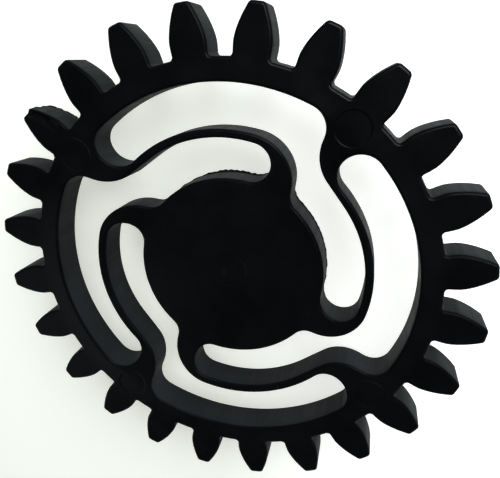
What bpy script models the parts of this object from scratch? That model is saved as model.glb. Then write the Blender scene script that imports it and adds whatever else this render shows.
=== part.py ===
"""Spring-web gear wheel, modelled flat on its back with the gear axis along +Z.

One black plastic moulding: a toothed rim hangs on a blind hub by four S-shaped spring arms.
The rim can give against the hub, because the arms flex. Each member is its own object.
The origin is on the gear axis at the mouth of the rear boss, the lowest point of the wheel.
Tooth 1 points along +Y, and the face that the user sees looks along +Z.
"""

import math

import bmesh
import bpy
from mathutils import Matrix, Vector

MM = 0.001
GAP = 0.3 * MM                  # clearance kept between neighbouring members

# ---- gear teeth: a standard involute spur gear -------------------------------------------
MODULE = 2.5 * MM
TEETH = 24
PRESSURE_ANGLE = math.radians(20.0)
TOOTH_THINNING = 0.025          # backlash allowance, as a share of the module
DEDENDUM = 1.28                 # depth of the root below the pitch circle, in modules
ROOT_FILLET = 0.30 * MM
TIP_CHAMFER = 0.35 * MM
FLANK_POINTS = 6
PITCH_RADIUS = MODULE * TEETH / 2
TIP_RADIUS = PITCH_RADIUS + MODULE
ROOT_RADIUS = PITCH_RADIUS - DEDENDUM * MODULE
BASE_RADIUS = PITCH_RADIUS * math.cos(PRESSURE_ANGLE)

# ---- web: every opening is outlined by circles that touch, given as radius and place ------
ARMS = 4
ARM_PITCH = 2 * math.pi / ARMS
AXIS = Vector((0.0, 0.0))
RIM_INNER_RADIUS = 24.05 * MM
HUB_RADIUS = 12.5 * MM
ARM_CENTRE = Vector((-0.25, 1.52)) * MM         # both edges of the thin arm turn about it
ARM_INNER_RADIUS = 16.15 * MM
ARM_OUTER_RADIUS = 17.25 * MM
RIM_SLOT_RADIUS = 2.70 * MM                     # round end of the opening, outside the arm
RIM_SLOT_ANGLE = math.radians(123.2)
CORNER_RADIUS = 2.70 * MM                       # the opening's other corner at the rim
CORNER_ANGLE = math.radians(146.8)
ROOT_BUMP_RADIUS = 5.25 * MM                    # bulge of the thick arm root
ROOT_BUMP_DISTANCE = 23.05 * MM
ROOT_BUMP_ANGLE = math.radians(126.6)
HUB_SLOT_RADIUS = 2.49 * MM                     # round end of the slot inside the arm
HUB_SLOT_ANGLE = math.radians(68.0)
HOOK_RADIUS = 5.70 * MM                         # outside of the arm's turn into its lug
HOOK_ANGLE = math.radians(68.0)
LUG_FILLET_RADIUS = 2.25 * MM
LUG_FILLET_ANGLE = math.radians(38.95)

# ---- heights above the mouth of the boss ---------------------------------------------------
FACE_WIDTH = 4.1 * MM
HUB_SET_BACK = 2.1 * MM         # the web is dished: the hub stands this far behind the rim
BOSS_LENGTH = 5.0 * MM
BOSS_RADIUS = 6.5 * MM
BOSS_SIDES = 48
SOCKET_RADIUS = 4.0 * MM
SOCKET_FLAT = 3.3 * MM          # from the axis to the flat of the D-shaped socket
RIM_BACK = BOSS_LENGTH + GAP + HUB_SET_BACK

ARM_STATIONS = 25               # cross-sections along an arm
ARC_STEP = math.radians(7.0)
FINE_STEP = math.radians(15.0)  # for the small circles
SHARP_ANGLE = math.radians(30.0)
SAME_POINT = 0.02 * MM

BLACK_PLASTIC = (0.013, 0.014, 0.014, 1.0)
BLACK_ROUGHNESS = 0.42


def polar(radius, angle):
    return Vector((radius * math.cos(angle), radius * math.sin(angle)))


def turned(points, angle):
    turn = Matrix.Rotation(angle, 2)
    return [turn @ point for point in points]


def tangent(circle, following):
    """Touching points of the straight line from one directed circle to the next.

    A circle is (centre, radius): a positive radius is run anticlockwise, a negative one clockwise.
    """
    (centre, radius), (next_centre, next_radius) = circle, following
    offset = next_centre - centre
    share = max(-1.0, min(1.0, (next_radius - radius) / offset.length))
    heading = math.atan2(offset.y, offset.x) - math.asin(share)
    left = Vector((-math.sin(heading), math.cos(heading)))
    return centre - radius * left, next_centre - next_radius * left


def arc(circle, start, end):
    """Points along a directed circle from one point on it to another."""
    centre, radius = circle
    first = math.atan2(start.y - centre.y, start.x - centre.x)
    last = math.atan2(end.y - centre.y, end.x - centre.x)
    sweep = (last - first) % (2 * math.pi)
    if radius < 0:
        sweep -= 2 * math.pi
    step = ARC_STEP if abs(radius) >= HUB_RADIUS else FINE_STEP
    count = max(1, math.ceil(abs(sweep) / step))
    return [centre + polar(abs(radius), first + sweep * i / count) for i in range(count + 1)]


def opening():
    """The outline of the opening outside arm 1, as one arc for each named circle."""
    next_arm = turned([ARM_CENTRE], -ARM_PITCH)[0]
    slot_seat = ARM_INNER_RADIUS - HUB_SLOT_RADIUS
    hook_seat = ARM_OUTER_RADIUS - HOOK_RADIUS
    circles = {
        "rim": (AXIS, -RIM_INNER_RADIUS),
        "corner": (polar(RIM_INNER_RADIUS - CORNER_RADIUS, CORNER_ANGLE - ARM_PITCH), -CORNER_RADIUS),
        "bump": (polar(ROOT_BUMP_DISTANCE, ROOT_BUMP_ANGLE - ARM_PITCH), ROOT_BUMP_RADIUS),
        "arm_inside": (next_arm, -ARM_INNER_RADIUS),
        "hub_slot": (next_arm + polar(slot_seat, HUB_SLOT_ANGLE - ARM_PITCH), -HUB_SLOT_RADIUS),
        "hub": (AXIS, HUB_RADIUS),
        "lug_fillet": (polar(HUB_RADIUS + LUG_FILLET_RADIUS, LUG_FILLET_ANGLE), -LUG_FILLET_RADIUS),
        "hook": (ARM_CENTRE + polar(hook_seat, HOOK_ANGLE), HOOK_RADIUS),
        "arm_outside": (ARM_CENTRE, ARM_OUTER_RADIUS),
        "rim_slot": (polar(RIM_INNER_RADIUS - RIM_SLOT_RADIUS, RIM_SLOT_ANGLE), -RIM_SLOT_RADIUS),
    }
    names = list(circles)
    links = [tangent(circles[name], circles[names[(i + 1) % len(names)]]) for i, name in enumerate(names)]
    return {name: arc(circles[name], links[i - 1][1], links[i][0]) for i, name in enumerate(names)}


def flank_half_angle(radius):
    """Half the angle that a tooth fills at a radius."""
    at_pitch = math.pi / (2 * TEETH) - TOOTH_THINNING * MODULE / (2 * PITCH_RADIUS)
    involute = math.tan(PRESSURE_ANGLE) - PRESSURE_ANGLE
    pressure = math.acos(min(1.0, BASE_RADIUS / radius))
    return at_pitch + involute - (math.tan(pressure) - pressure)


def tooth_outline():
    """One tooth from its left root to its right root, pointing along +Y, as (radius, angle)."""
    flank_start = ROOT_RADIUS + ROOT_FILLET
    flank_end = TIP_RADIUS - TIP_CHAMFER
    side = [(ROOT_RADIUS, flank_half_angle(flank_start) + ROOT_FILLET / ROOT_RADIUS)]
    for i in range(FLANK_POINTS):
        radius = flank_start + (flank_end - flank_start) * i / (FLANK_POINTS - 1)
        side.append((radius, flank_half_angle(radius)))
    side.append((TIP_RADIUS, flank_half_angle(TIP_RADIUS) - TIP_CHAMFER / (2 * TIP_RADIUS)))
    return side + [(radius, -angle) for radius, angle in reversed(side)]


def gear_outline():
    """All teeth, anticlockwise, starting with the tooth on +Y."""
    points = []
    for tooth in range(TEETH):
        middle = math.pi / 2 + 2 * math.pi * tooth / TEETH
        points += [polar(radius, middle - angle) for radius, angle in tooth_outline()]
    return points


def fill(bm, outlines, height):
    """Add a flat face at a height, inside the first outline and outside the others."""
    edges = []
    for outline in outlines:
        points = [p for i, p in enumerate(outline) if (p - outline[i - 1]).length > SAME_POINT]
        ring = [bm.verts.new((p.x, p.y, height)) for p in points]
        edges += [bm.edges.new(pair) for pair in zip(ring, ring[1:] + ring[:1])]
    bmesh.ops.triangle_fill(bm, use_beauty=True, edges=edges)


def pull_up(bm, height):
    """Make the flat faces into a plate of that thickness."""
    lifted = bmesh.ops.extrude_face_region(bm, geom=bm.faces[:])["geom"]
    top = [item for item in lifted if isinstance(item, bmesh.types.BMVert)]
    bmesh.ops.translate(bm, verts=top, vec=(0.0, 0.0, height))


def dish(bm):
    """Lower the web from the rim to the hub, in proportion to the radius."""
    for vert in bm.verts:
        depth = (RIM_INNER_RADIUS - vert.co.xy.length) / (RIM_INNER_RADIUS - HUB_RADIUS)
        vert.co.z -= HUB_SET_BACK * max(0.0, min(1.0, depth))


def web_plate(regions):
    """One member of the dished wheel, from flat regions that share edges."""
    bm = bmesh.new()
    for outlines in regions:
        fill(bm, outlines, RIM_BACK)
    bmesh.ops.remove_doubles(bm, verts=bm.verts, dist=SAME_POINT / 10)
    pull_up(bm, FACE_WIDTH)
    dish(bm)
    return bm


def make_rim(web):
    """The ring of teeth with the four thick roots that the arms grow from."""
    quarters = [{name: turned(side, -ARM_PITCH * i) for name, side in web.items()} for i in range(ARMS)]
    circle = []
    roots = []
    for quarter, following in zip(quarters, quarters[1:] + quarters[:1]):
        crossing = arc((AXIS, -RIM_INNER_RADIUS), quarter["rim"][-1], following["rim"][0])
        circle += quarter["rim"] + crossing
        roots.append([quarter["corner"] + quarter["bump"] + following["rim_slot"] + crossing[::-1]])
    return web_plate([[gear_outline(), circle]] + roots)


def make_hub(web):
    """The blind disc with the four lugs that the arms end in."""
    quarters = [{name: turned(side, ARM_PITCH * i) for name, side in web.items()} for i in range(ARMS)]
    circle = []
    lugs = []
    for quarter, following in zip(quarters, quarters[1:] + quarters[:1]):
        crossing = arc((AXIS, HUB_RADIUS), quarter["hub"][-1], following["hub"][0])
        circle += quarter["hub"] + crossing
        lugs.append([quarter["lug_fillet"] + quarter["hook"] + following["hub_slot"] + crossing[::-1]])
    return web_plate([[circle]] + lugs)


def trimmed(points, length):
    """A polyline without the given length at each end."""
    for _ in range(2):
        left = length
        while (points[1] - points[0]).length < left:
            left -= (points[1] - points[0]).length
            points = points[1:]
        points = [points[0] + (points[1] - points[0]).normalized() * left] + points[1:]
        points = points[::-1]
    return points


def resampled(points, count):
    """The same polyline with evenly spaced points."""
    lengths = [0.0]
    for a, b in zip(points, points[1:]):
        lengths.append(lengths[-1] + (b - a).length)
    result = []
    for i in range(count):
        wanted = lengths[-1] * i / (count - 1)
        j = max(k for k in range(len(points) - 1) if lengths[k] <= wanted)
        share = (wanted - lengths[j]) / (lengths[j + 1] - lengths[j])
        result.append(points[j].lerp(points[j + 1], share))
    return result


def make_arm(web, number):
    """The thin curved arm between its lug on the hub and its root in the rim."""
    outside = web["arm_outside"] + web["rim_slot"][:1]
    inside = turned(web["bump"][-1:] + web["arm_inside"], ARM_PITCH)[::-1]
    bm = bmesh.new()
    edges = []
    for side in (outside, inside):
        points = resampled(trimmed(side, GAP), ARM_STATIONS)
        edges.append([bm.verts.new((p.x, p.y, RIM_BACK)) for p in points])
    for a, b, c, d in zip(edges[0], edges[0][1:], edges[1][1:], edges[1]):
        bm.faces.new((a, b, c, d))
    pull_up(bm, FACE_WIDTH)
    dish(bm)
    bmesh.ops.rotate(bm, verts=bm.verts, matrix=Matrix.Rotation(-ARM_PITCH * (number - 1), 3, "Z"))
    return bm


def make_boss():
    """The rear boss with a D-shaped socket for the shaft that carries the wheel."""
    outside = [polar(BOSS_RADIUS, 2 * math.pi * i / BOSS_SIDES) for i in range(BOSS_SIDES)]
    flat_angle = math.acos(SOCKET_FLAT / SOCKET_RADIUS)
    sweep = 2 * (math.pi - flat_angle)
    socket = [polar(SOCKET_RADIUS, flat_angle + sweep * i / BOSS_SIDES) for i in range(BOSS_SIDES + 1)]
    bm = bmesh.new()
    fill(bm, [outside, socket], 0.0)
    pull_up(bm, BOSS_LENGTH)
    return bm


def finish(name, bm, material):
    """Turn a mesh into a named object with its faces pointing out."""
    bmesh.ops.recalc_face_normals(bm, faces=bm.faces)
    mesh = bpy.data.meshes.new(name)
    bm.to_mesh(mesh)
    bm.free()
    mesh.shade_smooth()
    mesh.set_sharp_from_angle(angle=SHARP_ANGLE)
    mesh.materials.append(material)
    thing = bpy.data.objects.new(name, mesh)
    bpy.context.collection.objects.link(thing)


def black_plastic():
    material = bpy.data.materials.new("black_plastic")
    material.use_nodes = True
    shader = material.node_tree.nodes["Principled BSDF"]
    shader.inputs["Base Color"].default_value = BLACK_PLASTIC
    shader.inputs["Roughness"].default_value = BLACK_ROUGHNESS
    return material


def main():
    for thing in list(bpy.data.objects):
        bpy.data.objects.remove(thing, do_unlink=True)
    material = black_plastic()
    web = opening()
    finish("toothed_rim", make_rim(web), material)
    finish("hub_disc", make_hub(web), material)
    finish("rear_boss", make_boss(), material)
    for number in range(1, ARMS + 1):
        finish(f"spring_arm_{number}", make_arm(web, number), material)


main()
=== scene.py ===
"""Looks of the spring-web gear wheel: one black moulding with rounded edges and moulding marks.

The whole wheel is worked out as one smooth skin, so that no seam shows where its members meet,
and is then parted into pieces, of which those of the rim and the hub ride on these bodies.
Lengths are in millimetres until a mesh is made, which is in metres.
"""

import math

import bmesh
import bpy
import numpy as np
from mathutils import Matrix, Vector
from mathutils.geometry import delaunay_2d_cdt


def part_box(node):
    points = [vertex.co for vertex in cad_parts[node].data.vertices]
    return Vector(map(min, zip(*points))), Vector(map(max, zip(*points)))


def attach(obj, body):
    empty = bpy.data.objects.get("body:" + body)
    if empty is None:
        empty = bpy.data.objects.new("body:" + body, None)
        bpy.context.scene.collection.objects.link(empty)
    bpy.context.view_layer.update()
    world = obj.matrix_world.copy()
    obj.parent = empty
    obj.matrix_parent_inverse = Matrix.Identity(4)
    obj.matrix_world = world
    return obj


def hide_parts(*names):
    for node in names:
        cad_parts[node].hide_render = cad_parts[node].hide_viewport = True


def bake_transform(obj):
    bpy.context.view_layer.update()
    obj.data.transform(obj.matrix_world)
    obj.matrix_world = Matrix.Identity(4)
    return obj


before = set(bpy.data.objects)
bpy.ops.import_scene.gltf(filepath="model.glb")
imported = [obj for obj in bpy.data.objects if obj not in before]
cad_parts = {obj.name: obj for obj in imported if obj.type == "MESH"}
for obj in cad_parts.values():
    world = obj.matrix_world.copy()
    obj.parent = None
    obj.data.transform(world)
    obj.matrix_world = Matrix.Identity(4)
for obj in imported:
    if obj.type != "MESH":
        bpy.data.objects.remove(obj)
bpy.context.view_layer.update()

MM = 0.001


def box_mm(node):
    """A CAD node's lowest and highest corners in millimetres."""
    return [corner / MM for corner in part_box(node)]


# ---- sizes read from the frame, in millimetres --------------------------------------------------
FACE_WIDTH = 4.1                # thickness of rim, arms and hub disc alike
FRONT = box_mm("toothed_rim")[1].z
TIP_RADIUS = box_mm("toothed_rim")[1].y
HUB_BACK = box_mm("hub_disc")[0].z
HUB_SET_BACK = FRONT - FACE_WIDTH - HUB_BACK
BOSS_RADIUS = box_mm("rear_boss")[1].y

# ---- teeth --------------------------------------------------------------------------------------
TEETH = 24
MODULE = 2.5
PITCH_RADIUS = MODULE * TEETH / 2
PRESSURE_ANGLE = math.radians(20.0)
BASE_RADIUS = PITCH_RADIUS * math.cos(PRESSURE_ANGLE)
DEDENDUM = 1.28 * MODULE
ROOT_RADIUS = PITCH_RADIUS - DEDENDUM
TOOTH_THINNING = 0.025 * MODULE
TOOTH_PITCH = 2 * math.pi / TEETH
FLANK_POINTS = 9
TIP_ROUND = 0.60                # radius of a tooth's tip corners
ROOT_ROUND = 0.45               # radius of the corners between teeth

# ---- web: circles that touch, as in the CAD; angles in degrees ----------------------------------
ARMS = 4
ARM_PITCH = 2 * math.pi / ARMS
RIM_INNER_RADIUS = 24.05
HUB_RADIUS = 12.5
ARM_CENTRE = (-0.25, 1.52)
ARM_INNER_RADIUS = 16.15
ARM_OUTER_RADIUS = 17.25
RIM_SLOT_RADIUS, RIM_SLOT_ANGLE = 2.70, 123.2
CORNER_RADIUS, CORNER_ANGLE = 2.70, 146.8
BUMP_RADIUS, BUMP_DISTANCE, BUMP_ANGLE = 5.25, 23.05, 126.6
HUB_SLOT_RADIUS, HUB_SLOT_ANGLE = 2.49, 68.0
HOOK_RADIUS, HOOK_ANGLE = 5.70, 68.0
LUG_FILLET_RADIUS, LUG_FILLET_ANGLE = 2.25, 38.95

# ---- surface ------------------------------------------------------------------------------------
OUTLINE_STEP = 0.40             # longest edge along an arc
ARC_STEP = math.radians(9)      # widest angle along an arc
STRAIGHT_STEP = 1.5 * OUTLINE_STEP  # longest edge along a straight
SAME_POINT = 0.03               # points closer than this are one
FRONT_ROUND = 0.36              # radius of the rounded edge of the front face
BACK_ROUND = 0.12               # and of the back face
WALL_LEVELS = 4                 # steps down the straight part of a wall
SUPPORT = 0.05                  # flat strip that keeps a face flat beside its rounded edge
CAP_PITCH = 0.95                # spacing of the points inside a face
FILL_GAP = 0.45 * CAP_PITCH     # clear space kept around points already placed
MERGE = 1e-6                    # the triangulation joins points closer than this
DISH_EASE = 0.04                # how softly the dish starts and ends, as a share of its width

# ---- moulding marks -----------------------------------------------------------------------------
PIN_RADIUS, PIN_DISTANCE, PIN_DEPTH = 2.07, 24.48, 0.05
GATE_RADIUS, GATE_DEPTH = 2.3, 0.03
NUB_RADIUS, NUB_HEIGHT = 0.75, 0.07
NUB_RINGS = (0.35, 0.7, 0.9, 1.0)
MARK_EDGE = 0.05                # width of the little step around a mark
MARK_BORDER = 0.16              # flat ring on both sides of that step

# ---- wear ---------------------------------------------------------------------------------------
CHIPPED_TOOTH = 3               # counted anticlockwise from the tooth on +Y
FLANK_AT_ROOT = 2.1             # half the chipped tooth's width at its root
FLANK_CURL = 0.0067             # how fast it narrows, with the cube of the distance out
CHIP_DEPTH, CHIP_WIDTH = 0.50, 0.90
CHIP_FROM_FLANK = 0.80          # from the flank to the middle of the groove
CHIP_START, CHIP_RUN_IN = 0.7, 2.5  # where along the tooth it starts, and its way to full depth
CHIP_BRINK, CHIP_SLOPE = 1.4, 0.8   # its outer edge and sides, in half widths
CHIP_FADE = 1.5                 # depth at which it no longer shows on the wall
CHIP_PITCH = 0.21               # spacing of the points that carry it
CHIP_GAP = 0.6 * CHIP_PITCH     # clear space that they keep from other points
TOOTH_REACH = 3                 # more than half of a tooth's width, less than half of a pitch
BRUISE = 0.16                   # roughness of the chipped tooth's flank
BRUISE_START, BRUISE_TOP = 0.8, 0.5  # nearest the root, and nearest the front face
FLASH = 0.34                    # thin flash around the back edge of the hub
FLASH_HEIGHT = 0.16
FLASH_ROOT = 0.07               # where the plain wall ends, before the back edge's rounding
FLASH_REACH = 0.6               # how far out of the hub's radius an edge still carries flash
FLASH_FAINT = 0.35              # share of the flash that runs all round the hub
FLASH_PLACE, FLASH_SPREAD = 87, 22  # where it is widest, and how far to both sides, in degrees
NICK_FADE = 1.0                 # depth at which the nick ends
NICK_PLACE, NICK_REACH, NICK_DEPTH = (23.1, 139.8), 0.9, 0.22


def polar(radius, degrees):
    """The point at a distance from the axis and an angle from +X."""
    angle = math.radians(degrees)
    return np.array([radius * math.cos(angle), radius * math.sin(angle)])


def turn(points, angle):
    """Points turned anticlockwise about the axis."""
    c, s = math.cos(angle), math.sin(angle)
    return np.asarray(points) @ np.array([[c, s], [-s, c]])


def in_scene(name, data):
    """A new object, linked into the scene."""
    thing = bpy.data.objects.new(name, data)
    bpy.context.collection.objects.link(thing)
    return thing


def tangent(circle, following):
    """Touching points of the line from one directed circle to the next (negative is clockwise)."""
    (centre, radius), (next_centre, next_radius) = circle, following
    offset = next_centre - centre
    share = np.clip((next_radius - radius) / np.hypot(*offset), -1, 1)
    heading = math.atan2(offset[1], offset[0]) - math.asin(share)
    left = np.array([-math.sin(heading), math.cos(heading)])
    return centre - radius * left, next_centre - next_radius * left


def arc(centre, radius, start, end):
    """Points along a directed circle from one point on it to another."""
    first = math.atan2(*(start - centre)[::-1])
    last = math.atan2(*(end - centre)[::-1])
    sweep = (last - first) % (2 * math.pi)
    if radius < 0:
        sweep -= 2 * math.pi
    count = math.ceil(max(abs(sweep * radius) / OUTLINE_STEP, abs(sweep) / ARC_STEP, 2))
    angles = first + sweep * np.arange(count + 1) / count
    return list(centre + abs(radius) * np.c_[np.cos(angles), np.sin(angles)])


def opening(quarter):
    """The outline of one opening, and for each point the member that the edge after it is part of.

    The outline runs with the plastic on its left: along the rim, down the next arm's root and the
    inside of that arm, round the hub, and back along the outside of this quarter's own arm.
    """
    this_arm, next_arm = f"arm_{quarter + 1}", f"arm_{(quarter + 1) % ARMS + 1}"
    axis = np.zeros(2)
    bend = np.array(ARM_CENTRE)
    next_bend = turn(bend, -ARM_PITCH)
    corner = polar(RIM_INNER_RADIUS - CORNER_RADIUS, CORNER_ANGLE - 90)
    bump = polar(BUMP_DISTANCE, BUMP_ANGLE - 90)
    hub_slot = next_bend + polar(ARM_INNER_RADIUS - HUB_SLOT_RADIUS, HUB_SLOT_ANGLE - 90)
    lug_fillet = polar(HUB_RADIUS + LUG_FILLET_RADIUS, LUG_FILLET_ANGLE)
    hook = bend + polar(ARM_OUTER_RADIUS - HOOK_RADIUS, HOOK_ANGLE)
    rim_slot = polar(RIM_INNER_RADIUS - RIM_SLOT_RADIUS, RIM_SLOT_ANGLE)
    circles = [
        ("rim", axis, -RIM_INNER_RADIUS),
        ("rim", corner, -CORNER_RADIUS),
        ("rim", bump, BUMP_RADIUS),
        (next_arm, next_bend, -ARM_INNER_RADIUS),
        ("hub", hub_slot, -HUB_SLOT_RADIUS),
        ("hub", axis, HUB_RADIUS),
        ("hub", lug_fillet, -LUG_FILLET_RADIUS),
        ("hub", hook, HOOK_RADIUS),
        (this_arm, bend, ARM_OUTER_RADIUS),
        ("rim", rim_slot, -RIM_SLOT_RADIUS),
    ]
    plain = [circle[1:] for circle in circles]
    links = [tangent(*pair) for pair in zip(plain, plain[1:] + plain[:1])]
    points, members = [], []
    for i, (member, centre, radius) in enumerate(circles):
        side = arc(centre, radius, links[i - 1][1], links[i][0])
        if points and np.hypot(*(side[0] - points[-1])) < SAME_POINT:
            points, members = points[:-1], members[:-1]
        elif member == next_arm:
            members[-1] = next_arm
        points += side
        members += [member] * len(side)
    if np.hypot(*(points[0] - points[-1])) < SAME_POINT:
        points, members = points[:-1], members[:-1]
    points, members = finer(points, members)
    halve(members, next_arm, ("root", "lug"))
    halve(members, this_arm, ("lug", "root"))
    return turn(points, -ARM_PITCH * quarter), members


def finer(points, members):
    """The same outline with its long straight edges divided."""
    more, theirs = [], []
    for i, (point, member) in enumerate(zip(points, members)):
        following = points[(i + 1) % len(points)]
        count = math.ceil(np.hypot(*(following - point)) / STRAIGHT_STEP)
        for k in range(count):
            more.append(point + (following - point) * k / count)
            theirs.append(member)
    return np.array(more), theirs


def halve(members, arm, halves):
    """Name the two halves of an arm along one of its edges."""
    places = [i for i, member in enumerate(members) if member == arm]
    for order, i in enumerate(places):
        members[i] = f"{arm}_{halves[order >= len(places) // 2]}"


def flank_half_angle(radius):
    """Half the angle that a tooth fills at a radius."""
    at_pitch = math.pi / (2 * TEETH) - TOOTH_THINNING / (2 * PITCH_RADIUS)
    involute = math.tan(PRESSURE_ANGLE) - PRESSURE_ANGLE
    pressure = math.acos(min(1.0, BASE_RADIUS / radius))
    return at_pitch + involute - (math.tan(pressure) - pressure)


def rounded_corner(before, corner, after, radius):
    """Points of the arc that takes the place of a corner."""
    inward = (before - corner) / np.hypot(*(before - corner))
    onward = (after - corner) / np.hypot(*(after - corner))
    half = math.acos(np.clip(inward @ onward, -1, 1)) / 2
    reach = radius / math.tan(half)
    middle = inward + onward
    centre = corner + middle / np.hypot(*middle) * radius / math.sin(half)
    start, end = corner + inward * reach, corner + onward * reach
    left_turn = inward[0] * onward[1] - inward[1] * onward[0] < 0
    return arc(centre, radius if left_turn else -radius, start, end)


def tooth():
    """Half a tooth space, a tooth along +Y and half a space, run anticlockwise."""
    radii = np.linspace(ROOT_RADIUS, TIP_RADIUS, FLANK_POINTS + 2)
    angles = [flank_half_angle(radius) for radius in radii]
    side = [radius * np.array([math.sin(a), math.cos(a)]) for radius, a in zip(radii, angles)]
    land = ROOT_RADIUS * np.array([math.sin(TOOTH_PITCH / 2), math.cos(TOOTH_PITCH / 2)])
    crown = np.array([0.0, TIP_RADIUS])
    half = [land] + rounded_corner(land, side[0], side[1], ROOT_ROUND) + side[2:-2]
    half += rounded_corner(side[-2], side[-1], crown, TIP_ROUND) + [crown]
    return half + [point * (-1, 1) for point in half[-2:0:-1]]


def teeth_outline():
    """The rim's outer outline, all of it part of the rim."""
    points = np.vstack([turn(tooth(), TOOTH_PITCH * i) for i in range(TEETH)])
    return finer(points, ["rim"] * len(points))


def inset(points, distance):
    """A closed outline moved to its left, into the plastic."""
    edges = np.roll(points, -1, 0) - points
    normals = np.c_[-edges[:, 1], edges[:, 0]] / np.hypot(*edges.T)[:, None]
    middle = normals + np.roll(normals, 1, 0)
    middle /= np.hypot(*middle.T)[:, None]
    reach = distance / np.maximum(np.sum(middle * normals, 1), 0.5)
    return points + middle * reach[:, None]


def dish(points):
    """How far the web lies behind the rim: an even slope from rim to hub with soft ends."""
    depth = (RIM_INNER_RADIUS - np.hypot(*points.T)) / (RIM_INNER_RADIUS - HUB_RADIUS)
    depth = np.clip(depth, 0.0, 1.0)
    slope = np.clip(depth - DISH_EASE, 0.0, 1 - 2 * DISH_EASE)
    slope = np.where(depth < 2 * DISH_EASE, depth ** 2 / (4 * DISH_EASE), slope)
    end = 1 - depth
    slope = np.where(end < 2 * DISH_EASE, 1 - 2 * DISH_EASE - end ** 2 / (4 * DISH_EASE), slope)
    return HUB_SET_BACK * slope / (1 - 2 * DISH_EASE)


def pin_centres():
    """Where the ejector pins pushed, one at the root of each arm."""
    return [polar(PIN_DISTANCE, 45 + 90 * i) for i in range(ARMS)]


def mark_depth(points):
    """How far the marks of pins and gate, and the chip, are sunk into the front face."""
    depth = np.zeros(len(points))
    for centre in pin_centres():
        away = np.hypot(*(points - centre).T) - PIN_RADIUS
        depth += PIN_DEPTH * np.clip(0.5 - away / MARK_EDGE, 0, 1)
    away = np.hypot(*points.T)
    depth += chip_depth(points)
    depth += GATE_DEPTH * np.clip(0.5 - (away - GATE_RADIUS) / MARK_EDGE, 0, 1)
    depth -= NUB_HEIGHT * np.clip(1.0 - away / NUB_RADIUS, 0, 1) ** 0.5
    return depth


def ripple(value, seed):
    """A smooth irregular value between -1 and 1."""
    phases = value * 1.7 + seed, value * 4.1 + 2.3 * seed, value * 9.7 + seed
    return sum(np.sin(phase) for phase in phases) / 3


def chip_place(points):
    """Distance out along the chipped tooth and across it towards its clockwise flank."""
    upright = turn(points, -TOOTH_PITCH * CHIPPED_TOOTH)
    return upright[:, 1] - ROOT_RADIUS, upright[:, 0]


def chip_depth(points):
    """The groove crushed into the chipped tooth beside its clockwise flank."""
    out, across = chip_place(points)
    flank = FLANK_AT_ROOT - FLANK_CURL * np.clip(out, 0, 6) ** 3
    from_middle = flank - CHIP_FROM_FLANK - across + 0.05 * ripple(out, 1.0)
    beside = np.abs(from_middle) / (CHIP_WIDTH / 2)
    along = np.clip((out - CHIP_START) / CHIP_RUN_IN, 0, 1) * (0.85 + 0.2 * ripple(out * 1.3, 2.0))
    near = (np.abs(across) < TOOTH_REACH) & (out > 0)
    return near * CHIP_DEPTH * along * np.clip((CHIP_BRINK - beside) / CHIP_SLOPE, 0, 1)


def chip_points():
    """Close points over the chipped tooth's front face."""
    columns, rows = range(-8, 9), range(1, 26)
    grid = [(x * CHIP_PITCH, ROOT_RADIUS + y * CHIP_PITCH) for x in columns for y in rows]
    return turn(grid, TOOTH_PITCH * CHIPPED_TOOTH)


def wear(outline, depth):
    """How far each point of an outline is pushed out of the plastic at a depth."""
    out, across = chip_place(outline)
    on_flank = (across > 0) & (across < TOOTH_REACH) & (out > BRUISE_START)
    bruised = BRUISE * (on_flank & (depth > BRUISE_TOP)) * ripple(out * 3 + depth * 5, depth)
    angle = np.degrees(np.arctan2(outline[:, 1], outline[:, 0]))
    near_hub = np.hypot(*outline.T) < HUB_RADIUS + FLASH_REACH
    at_widest = np.clip(1 - np.abs(angle - FLASH_PLACE) / FLASH_SPREAD, 0, 1)
    width = FLASH * (near_hub & (depth > FACE_WIDTH - FLASH_HEIGHT))
    width = width * (FLASH_FAINT + (1 - FLASH_FAINT) * at_widest)
    flash = width * (0.75 + 0.6 * ripple(angle, 0.4))
    nick = np.hypot(*(outline - polar(*NICK_PLACE)).T) / NICK_REACH
    return bruised + flash - NICK_DEPTH * np.clip(1 - nick, 0, 1) * (depth < NICK_FADE)


def profile():
    """(inset, depth) of the skin's levels, from the front face round the wall to the back face."""
    quarter = [(math.sin(a), math.cos(a)) for a in np.linspace(0, math.pi / 2, 5)]
    straight = FACE_WIDTH - FRONT_ROUND - BACK_ROUND
    back = FACE_WIDTH - BACK_ROUND
    levels = [(FRONT_ROUND + SUPPORT, 0.0)]
    levels += [(FRONT_ROUND * (1 - s), FRONT_ROUND * (1 - c)) for s, c in quarter]
    levels += [(0.0, FRONT_ROUND + straight * i / WALL_LEVELS) for i in range(1, WALL_LEVELS)]
    levels.append((0.0, back - FLASH_ROOT))
    levels += [(BACK_ROUND * (1 - c), back + BACK_ROUND * s) for s, c in quarter[::2]]
    levels.append((BACK_ROUND + SUPPORT, FACE_WIDTH))
    return levels


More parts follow.
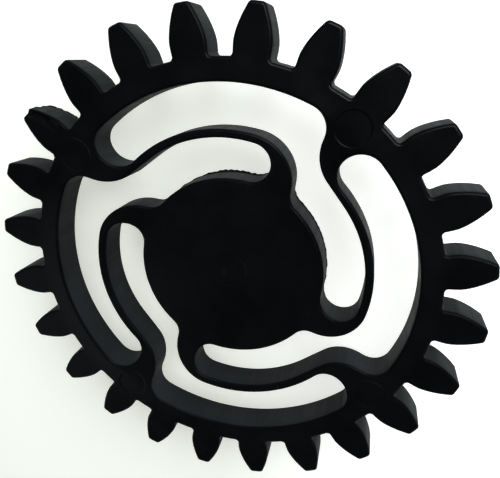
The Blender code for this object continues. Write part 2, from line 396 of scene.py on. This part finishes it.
class Skin:
    """The wheel's whole surface: points, faces, and the piece that each face goes to."""

    def __init__(self):
        self.points = []
        self.faces = []
        self.labels = []
        self.columns = []

    def add_points(self, flat, height):
        first = len(self.points)
        self.points += [(x, y, z) for (x, y), z in zip(flat, height)]
        return list(range(first, len(self.points)))

    def add_wall(self, outline, members):
        """The rounded edges and the wall below an outline."""
        rings = []
        for distance, depth in profile():
            flat = inset(outline, distance - wear(outline, depth))
            chipped = chip_depth(flat) * max(0.0, 1 - depth / CHIP_FADE)
            rings.append(self.add_points(flat, FRONT - depth - dish(flat) - chipped))
        count = len(outline)
        for upper, lower in zip(rings, rings[1:]):
            for i in range(count):
                j = (i + 1) % count
                self.faces.append((upper[i], lower[i], lower[j], upper[j]))
                self.labels.append(members[i])
        self.columns.append((rings, members))

    def seams(self):
        """Pairs of columns, (outline, place), between which two pieces meet across the plastic."""
        found = {}
        for k, (_, members) in enumerate(self.columns):
            for i, member in enumerate(members):
                pair = frozenset((members[i - 1], member))
                if len(pair) == 2:
                    found.setdefault(pair, []).append((k, i))
        return [(pair, *places) for pair, places in found.items()]

    def add_cap(self, level, circles, close, height, facing):
        """The face inside one level of all walls, filled with even triangles.

        Circles are kept as edges, close points are kept where they have room, height gives how
        high a point lies, and facing is 1 for a face seen from the front and -1 from the back.
        """
        loops = [rings[level] for rings, _ in self.columns]
        known = [i for loop in loops for i in loop]
        place = {point: i for i, point in enumerate(known)}
        flat = [self.points[i][:2] for i in known]
        edges = []
        owner = {}
        for loop, (_, members) in zip(loops, self.columns):
            for a, b, member in zip(loop, loop[1:] + loop[:1], members):
                edges.append((place[a], place[b]))
                owner[frozenset((a, b))] = member
        closed = set()
        for _, (ka, ia), (kb, ib) in self.seams():
            a, b = loops[ka][ia], loops[kb][ib]
            edges.append((place[a], place[b]))
            closed.add(frozenset((a, b)))
        extra = []
        for circle in circles:
            first = len(flat) + len(extra)
            edges += [(first + i, first + (i + 1) % len(circle)) for i in range(len(circle))]
            extra += [tuple(point) for point in circle]
        walls = [np.array([self.points[i][:2] for i in loop]) for loop in loops]
        extra += clear_of(np.array(flat + extra), close[within(close, walls)], CHIP_GAP)
        extra += clear_of(np.array(flat + extra), inner_points(walls), FILL_GAP)
        given = known + self.add_points(extra, height(np.array(extra)))
        corners = [Vector(point) for point in flat + extra]
        corners, _, triangles, sources = delaunay_2d_cdt(corners, edges, [], 0, MERGE)[:4]
        index = [given[source[0]] for source in sources]
        corners, triangles = np.array([tuple(corner) for corner in corners]), np.array(triangles)
        inside = within(corners[triangles].mean(1), walls)
        triangles = [tuple(index[i] for i in triangle) for triangle in triangles[inside]]
        self.faces += [triangle[::facing] for triangle in triangles]
        self.labels += spread(triangles, owner, closed)


def inside_outline(points, outline):
    """Which points lie inside a closed outline."""
    result = np.zeros(len(points), bool)
    for (ax, ay), (bx, by) in zip(outline, np.roll(outline, -1, 0)):
        if ay != by:
            crossing = (points[:, 1] < ay) != (points[:, 1] < by)
            result ^= crossing & (points[:, 0] < ax + (bx - ax) * (points[:, 1] - ay) / (by - ay))
    return result


def within(points, walls):
    """Which points lie inside the first outline and outside the others."""
    result = inside_outline(points, walls[0])
    for wall in walls[1:]:
        result &= ~inside_outline(points, wall)
    return result


def inner_points(walls):
    """Even points in a hexagonal pattern over the whole face."""
    rows = np.arange(-TIP_RADIUS, TIP_RADIUS, CAP_PITCH * math.sqrt(0.75))
    across = np.arange(-TIP_RADIUS, TIP_RADIUS, CAP_PITCH)
    grid = [(x + CAP_PITCH / 2 * (i % 2), y) for i, y in enumerate(rows) for x in across]
    grid = np.array(grid)
    return grid[within(grid, walls)]


def clear_of(taken, points, distance):
    """The points that are further than a distance from every point already taken."""
    return [tuple(p) for p in points if np.min(np.hypot(*(taken - p).T)) > distance]


def sides_of(triangle):
    """A triangle's three sides, whichever way they run."""
    a, b, c = triangle
    return frozenset((a, b)), frozenset((b, c)), frozenset((c, a))


def spread(triangles, owner, closed):
    """Give each triangle the label that reaches it from the walls and crosses no closed edge."""
    sides = {}
    for t, triangle in enumerate(triangles):
        for side in sides_of(triangle):
            sides.setdefault(side, []).append(t)
    labels = [None] * len(triangles)
    waiting = []
    for side, member in owner.items():
        for t in sides.get(side, []):
            labels[t] = member
            waiting.append(t)
    while waiting:
        t = waiting.pop()
        for side in sides_of(triangles[t]):
            for other in [] if side in closed else sides[side]:
                if labels[other] is None:
                    labels[other] = labels[t]
                    waiting.append(other)
    return labels


def circle_points(centre, radius):
    """Evenly spaced points round a circle."""
    count = max(16, math.ceil(2 * math.pi * radius / OUTLINE_STEP))
    angles = 2 * math.pi * np.arange(count) / count
    return centre + radius * np.c_[np.cos(angles), np.sin(angles)]


def mark_circles():
    """Rings of points on both sides of the small step around each mark."""
    axis = np.zeros(2)
    circles = []
    for centre, radius in [(pin, PIN_RADIUS) for pin in pin_centres()] + [(axis, GATE_RADIUS)]:
        for offset in (-MARK_BORDER, -MARK_EDGE / 2, MARK_EDGE / 2, MARK_BORDER):
            circles.append(circle_points(centre, radius + offset))
    return circles + [circle_points(axis, NUB_RADIUS * share) for share in NUB_RINGS]


def make_skin():
    """The whole wheel but its boss: five outlines, a front face with marks and a back face."""
    skin = Skin()
    skin.add_wall(*teeth_outline())
    for quarter in range(ARMS):
        skin.add_wall(*opening(quarter))
    nothing = np.empty((0, 2))
    skin.add_cap(0, mark_circles(), chip_points(), lambda p: FRONT - dish(p) - mark_depth(p), 1)
    skin.add_cap(-1, [], nothing, lambda p: FRONT - FACE_WIDTH - dish(p), -1)
    return skin


def skin_normals(skin):
    """Smooth normals of the whole skin, by point."""
    mesh = bpy.data.meshes.new("whole_skin")
    mesh.from_pydata(skin.points, [], skin.faces)
    normals = [tuple(normal.vector) for normal in mesh.vertex_normals]
    bpy.data.meshes.remove(mesh)
    return normals


def piece_from(skin, normals, label, name):
    """One closed piece of the skin, with the ends where its neighbours continue it."""
    faces = [face for face, owner in zip(skin.faces, skin.labels) if owner == label]
    for pair, *places in skin.seams():
        if label in pair:
            down, up = [[ring[i] for ring in skin.columns[k][0]] for k, i in places]
            faces.append(tuple(down + up[::-1]))
    used = sorted({i for face in faces for i in face})
    place = {point: i for i, point in enumerate(used)}
    mesh = bpy.data.meshes.new(name)
    points = [[coordinate * MM for coordinate in skin.points[i]] for i in used]
    mesh.from_pydata(points, [], [[place[i] for i in face] for face in faces])
    bm = bmesh.new()
    bm.from_mesh(mesh)
    bmesh.ops.recalc_face_normals(bm, faces=bm.faces)
    bm.to_mesh(mesh)
    bm.free()
    mesh.shade_smooth()
    mesh.normals_split_custom_set_from_vertices([normals[i] for i in used])
    return in_scene(name, mesh)


# ---- rear boss ----------------------------------------------------------------------------------
SOCKET_RADIUS = 4.0
SOCKET_FLAT = 3.3
SOCKET_FLOOR = 0.3              # left between the blind socket and the hub disc
SOCKET_LEAD = 0.4               # bevel at the socket's mouth
BOSS_FILLET, BOSS_EDGE = 0.6, 0.3
BOSS_SINK = 0.05                # how far the boss reaches into the hub disc
BOSS_POINTS = 144
BOSS_SUPPORT = 0.05             # narrow ring that keeps the bevel's edges crisp
SHARP_ANGLE = math.radians(30)


def boss_ring(radius, height, flat=None):
    """A ring of points about the axis, cut off by a flat on its +X side if one is given."""
    angles = 2 * math.pi * np.arange(BOSS_POINTS) / BOSS_POINTS
    reach = np.full(BOSS_POINTS, radius)
    if flat:
        reach = np.minimum(reach, flat / np.maximum(np.cos(angles), 0.01))
    return [(r * math.cos(a), r * math.sin(a), height) for r, a in zip(reach, angles)]


def make_boss():
    """A tube with a fillet at the hub, a rounded mouth and a bevelled D-shaped blind socket."""
    top = HUB_BACK + BOSS_SINK
    rings = []
    for a in np.linspace(0, math.pi / 2, 6):
        radius = BOSS_RADIUS + BOSS_FILLET * (1 - math.sin(a))
        rings.append(boss_ring(radius, top - BOSS_FILLET * (1 - math.cos(a))))
    for a in np.linspace(0, math.pi / 2, 5):
        radius = BOSS_RADIUS - BOSS_EDGE * (1 - math.cos(a))
        rings.append(boss_ring(radius, BOSS_EDGE * (1 - math.sin(a))))
    socket = [
        (SOCKET_LEAD + BOSS_SUPPORT, 0.0),
        (SOCKET_LEAD, 0.0),
        (0.0, SOCKET_LEAD),
        (0.0, SOCKET_LEAD + BOSS_SUPPORT),
        (0.0, HUB_BACK - SOCKET_FLOOR),
    ]
    for out, height in socket:
        rings.append(boss_ring(SOCKET_RADIUS + out, height, SOCKET_FLAT + out))
    bm = bmesh.new()
    rows = [[bm.verts.new(Vector(point) * MM) for point in ring] for ring in rings]
    for row, following in zip(rows, rows[1:]):
        for i in range(BOSS_POINTS):
            j = (i + 1) % BOSS_POINTS
            bm.faces.new((row[i], row[j], following[j], following[i]))
    bm.faces.new(rows[0])
    bm.faces.new(rows[-1])
    bmesh.ops.recalc_face_normals(bm, faces=bm.faces)
    mesh = bpy.data.meshes.new("boss_moulding")
    bm.to_mesh(mesh)
    bm.free()
    mesh.shade_smooth()
    mesh.set_sharp_from_angle(angle=SHARP_ANGLE)
    return in_scene("boss_moulding", mesh)


# ---- material -----------------------------------------------------------------------------------
# A surface is wall or face by how upright its normal is, from 0 on a wall to 1 on a level face.
WALL_BELOW, FACE_ABOVE = 0.15, 0.40
ROUNDED_BELOW, LEVEL_ABOVE = 0.90, 0.995  # between them a face's own sheen comes in
DEEP_BLACK, SOFT_BLACK = (0.0020, 0.0023, 0.0026, 1), (0.0034, 0.0039, 0.0044, 1)
WALL_PAINTED_LIGHT = 3.8             # painted light: walls' colour made paler than the faces', in multiples of the faces'
WALL_ROUGHNESS, FACE_ROUGHNESS = 0.62, 0.27
WALL_SHEEN, EDGE_SHEEN, FACE_SHEEN = 0.095, 0.03, 0.37  # a level face has the last two together
TEETH_START, TEETH_RUBBED = 25.5, 27.5  # distances from the axis
RUBBED_SHEEN = 0.55             # sheen of the rubbed teeth, as a share of the web's
GRAIN_STRENGTH, GRAIN_HEIGHT = 0.25, 0.00003  # height in metres
PLASTIC_IOR = 1.48


def map_range(nodes, low, high, at_low=0.0, at_high=1.0):
    """A node that carries one range of values over to another and holds the ends."""
    node = nodes.new("ShaderNodeMapRange")
    node.inputs["From Min"].default_value = low
    node.inputs["From Max"].default_value = high
    node.inputs["To Min"].default_value = at_low
    node.inputs["To Max"].default_value = at_high
    return node


def colour_ramp(nodes, *stops):
    """A ramp between two (position, colour) stops."""
    ramp = nodes.new("ShaderNodeValToRGB")
    for element, (position, colour) in zip(ramp.color_ramp.elements, stops):
        element.position, element.color = position, colour
    return ramp


def moulded_plastic():
    """Black plastic: satin faces; duller walls, painted paler as painted light, with faint draw
    marks; and rubbed teeth.
    """
    material = bpy.data.materials.new("moulded_black_plastic")
    material.use_nodes = True
    nodes, links = material.node_tree.nodes, material.node_tree.links
    shader = nodes["Principled BSDF"]
    place = nodes.new("ShaderNodeTexCoord")

    def stretched(stretch):
        mapping = nodes.new("ShaderNodeMapping")
        mapping.inputs["Scale"].default_value = stretch
        links.new(place.outputs["Object"], mapping.inputs["Vector"])
        return mapping.outputs["Vector"]

    def noise(scale, detail, stretch=(1, 1, 1)):
        texture = nodes.new("ShaderNodeTexNoise")
        texture.inputs["Scale"].default_value = scale
        texture.inputs["Detail"].default_value = detail
        links.new(stretched(stretch), texture.inputs["Vector"])
        return texture.outputs["Fac"]

    def between(value, low, high, at_low, at_high):
        node = map_range(nodes, low, high, at_low, at_high)
        links.new(value, node.inputs["Value"])
        return node.outputs["Result"]

    def combined(operation, first, second):
        node = nodes.new("ShaderNodeMath")
        node.operation = operation
        links.new(first, node.inputs[0])
        links.new(second, node.inputs[1])
        return node.outputs["Value"]

    facing = nodes.new("ShaderNodeSeparateXYZ")
    links.new(place.outputs["Normal"], facing.inputs["Vector"])
    absolute = nodes.new("ShaderNodeMath")
    absolute.operation = "ABSOLUTE"
    links.new(facing.outputs["Z"], absolute.inputs[0])
    upright = absolute.outputs["Value"]
    flatness = between(upright, WALL_BELOW, FACE_ABOVE, 0.0, 1.0)

    def wall_to_face(on_wall, on_face):
        return between(flatness, 0.0, 1.0, on_wall, on_face)

    tint = colour_ramp(nodes, (0.35, DEEP_BLACK), (0.70, SOFT_BLACK))
    links.new(noise(scale=90.0, detail=4.0), tint.inputs["Fac"])
    # painted light: the walls' colour is made paler than the level faces' by how upright they
    # stand
    colour_with_painted_wall_light = nodes.new("ShaderNodeVectorMath")
    colour_with_painted_wall_light.operation = "SCALE"
    links.new(tint.outputs["Color"], colour_with_painted_wall_light.inputs["Vector"])
    links.new(wall_to_face(WALL_PAINTED_LIGHT, 1.0), colour_with_painted_wall_light.inputs["Scale"])
    links.new(colour_with_painted_wall_light.outputs["Vector"], shader.inputs["Base Color"])

    rubbed = between(noise(scale=260.0, detail=5.0), 0.3, 0.7, -0.05, 0.05)
    drawn = noise(scale=1400.0, detail=2.0, stretch=(1, 1, 0.04))
    streaks = combined("MULTIPLY", between(drawn, 0.35, 0.65, -0.05, 0.07), wall_to_face(1.0, 0.0))
    roughness = combined("ADD", wall_to_face(WALL_ROUGHNESS, FACE_ROUGHNESS), rubbed)
    links.new(combined("ADD", roughness, streaks), shader.inputs["Roughness"])

    from_axis = nodes.new("ShaderNodeVectorMath")
    from_axis.operation = "LENGTH"
    links.new(stretched((1, 1, 0)), from_axis.inputs[0])
    from_axis = from_axis.outputs["Value"]
    rubbed_teeth = between(from_axis, TEETH_START * MM, TEETH_RUBBED * MM, 1.0, RUBBED_SHEEN)
    level_sheen = between(upright, ROUNDED_BELOW, LEVEL_ABOVE, 0.0, FACE_SHEEN)
    sheen = combined("ADD", wall_to_face(WALL_SHEEN, EDGE_SHEEN), level_sheen)
    links.new(combined("MULTIPLY", sheen, rubbed_teeth), shader.inputs["Specular IOR Level"])

    grain = nodes.new("ShaderNodeBump")
    grain.inputs["Strength"].default_value = GRAIN_STRENGTH
    grain.inputs["Distance"].default_value = GRAIN_HEIGHT
    links.new(noise(scale=5200.0, detail=3.0), grain.inputs["Height"])
    links.new(grain.outputs["Normal"], shader.inputs["Normal"])
    shader.inputs["IOR"].default_value = PLASTIC_IOR
    return material


# ---- stage: sizes in metres, power in watts -----------------------------------------------------
FLOOR_SIZE = 3.0
FLOOR_DROP = 0.00005            # how far the floor lies below the boss
FLOOR_COLOUR = (0.80, 0.81, 0.77, 1)
DIM_GLOW, BRIGHT_GLOW = (0.46, 0.47, 0.415, 1), (0.74, 0.74, 0.72, 1)
GLOW_REACH = 0.030              # the glow changes from this far towards -X to as far towards +X
HORIZON, CEILING = (0.86, 0.90, 0.95, 1), (0.004, 0.004, 0.005, 1)
LIGHT_COLOUR = (0.92, 0.97, 1.0)
LIGHT_TARGET = (0, 0, 0.01)
SOFTBOXES = [                   # name, place, width and height, power
    ("key", (0.16, 0.20, 0.22), (0.30, 0.30), 1.75),
    ("sheen", (-0.20, -0.12, 0.20), (0.12, 0.12), 0.008),
    ("right_strip", (0.25, -0.13, 0.035), (0.20, 0.05), 0.05),
    ("far_strip", (-0.13, 0.25, 0.035), (0.20, 0.05), 0.035),
]


def make_floor():
    """A pale floor that glows a little, more so towards +X, so that the wheel stands out black."""
    bpy.ops.mesh.primitive_plane_add(size=FLOOR_SIZE, location=(0, 0, -FLOOR_DROP))
    floor = bpy.context.object
    floor.name = "floor"
    material = bpy.data.materials.new("pale_floor")
    material.use_nodes = True
    nodes, links = material.node_tree.nodes, material.node_tree.links
    shader = nodes["Principled BSDF"]
    shader.inputs["Base Color"].default_value = FLOOR_COLOUR
    shader.inputs["Roughness"].default_value = 0.9
    shader.inputs["Specular IOR Level"].default_value = 0.1
    place = nodes.new("ShaderNodeTexCoord")
    split = nodes.new("ShaderNodeSeparateXYZ")
    across = map_range(nodes, -GLOW_REACH, GLOW_REACH)
    glow = colour_ramp(nodes, (0.3, DIM_GLOW), (0.9, BRIGHT_GLOW))
    links.new(place.outputs["Object"], split.inputs["Vector"])
    links.new(split.outputs["X"], across.inputs["Value"])
    links.new(across.outputs["Result"], glow.inputs["Fac"])
    links.new(glow.outputs["Color"], shader.inputs["Emission Color"])
    shader.inputs["Emission Strength"].default_value = 1.0
    floor.data.materials.append(material)


def make_surroundings():
    """A dark ceiling over bright surroundings: upright walls shine and flat faces stay black."""
    world = bpy.data.worlds.new("surroundings")
    bpy.context.scene.world = world
    world.use_nodes = True
    nodes, links = world.node_tree.nodes, world.node_tree.links
    place = nodes.new("ShaderNodeTexCoord")
    split = nodes.new("ShaderNodeSeparateXYZ")
    sky = colour_ramp(nodes, (0.08, HORIZON), (0.40, CEILING))
    links.new(place.outputs["Generated"], split.inputs["Vector"])
    links.new(split.outputs["Z"], sky.inputs["Fac"])
    links.new(sky.outputs["Color"], nodes["Background"].inputs["Color"])
    nodes["Background"].inputs["Strength"].default_value = 1.0


def add_softbox(name, position, size, power):
    """A rectangular light turned to the wheel."""
    light = bpy.data.lights.new(name, "AREA")
    light.shape = "RECTANGLE"
    light.size, light.size_y = size
    light.energy = power
    light.color = LIGHT_COLOUR
    thing = in_scene(name, light)
    thing.location = position
    aim = Vector(LIGHT_TARGET) - Vector(position)
    thing.rotation_euler = aim.to_track_quat("-Z", "Y").to_euler()


# ---- camera: close above the wheel, looking down past its +X +Y side ----------------------------
CAMERA_PLACE = Vector((20.04, 24.36, 51.71 + FRONT)) * MM
CAMERA_TARGET = Vector((5.97, 6.56, FRONT)) * MM
CAMERA_ROLL = math.radians(146.5)
CAMERA_LENS = 33.53
CAMERA_SHIFT = (-0.0267, -0.0235)


def make_camera():
    """The photograph's camera."""
    camera = bpy.data.cameras.new("camera")
    camera.lens = CAMERA_LENS
    camera.sensor_width = 36.0
    camera.shift_x, camera.shift_y = CAMERA_SHIFT
    camera.clip_start = 0.002
    thing = in_scene("camera", camera)
    look = (CAMERA_TARGET - CAMERA_PLACE).to_track_quat("-Z", "Y")
    roll = Matrix.Rotation(-CAMERA_ROLL, 4, "Z")
    thing.matrix_world = Matrix.Translation(CAMERA_PLACE) @ look.to_matrix().to_4x4() @ roll
    bpy.context.scene.camera = thing


# ---- wheel --------------------------------------------------------------------------------------
SEAM_LEVEL = 4                  # the skin's level, from the front, that says where seams lie


def make_wheel(material):
    """All pieces of the wheel, the rim's on the rim and the hub's and the boss on the hub."""
    skin = make_skin()
    normals = skin_normals(skin)
    pieces = {}
    for label in sorted(set(skin.labels)):
        pieces[label] = piece_from(skin, normals, label, f"{label}_moulding")
    pieces["boss"] = make_boss()
    for piece in pieces.values():
        piece.data.materials.append(material)
    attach(pieces["rim"], "rim")
    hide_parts("toothed_rim")
    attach(pieces["hub"], "hub")
    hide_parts("hub_disc")
    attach(pieces["boss"], "hub")
    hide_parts("rear_boss")
    for number in range(1, ARMS + 1):
        bend_arm(skin, pieces, number)


def seam_middle(skin, first, second):
    """The point, in metres, in the middle of the seam between two pieces."""
    for pair, *places in skin.seams():
        if pair == {first, second}:
            ends = [skin.points[skin.columns[k][0][SEAM_LEVEL][i]] for k, i in places]
            return tuple(np.mean(ends, 0) * MM)


def bend_arm(skin, pieces, number):
    """Both halves of an arm baked in place and the CAD arm hidden; the seam middles are found but
    not used.
    """
    lug, root = f"arm_{number}_lug", f"arm_{number}_root"
    at_lug = seam_middle(skin, "hub", lug)
    middle = seam_middle(skin, lug, root)
    at_root = seam_middle(skin, root, "rim")
    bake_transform(pieces[lug])
    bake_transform(pieces[root])
    for half in (lug, root):
        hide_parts(f"spring_arm_{number}")


def main():
    make_wheel(moulded_plastic())
    make_floor()
    make_surroundings()
    for softbox in SOFTBOXES:
        add_softbox(*softbox)
    make_camera()
    bpy.context.scene.view_settings.view_transform = "Standard"


main()
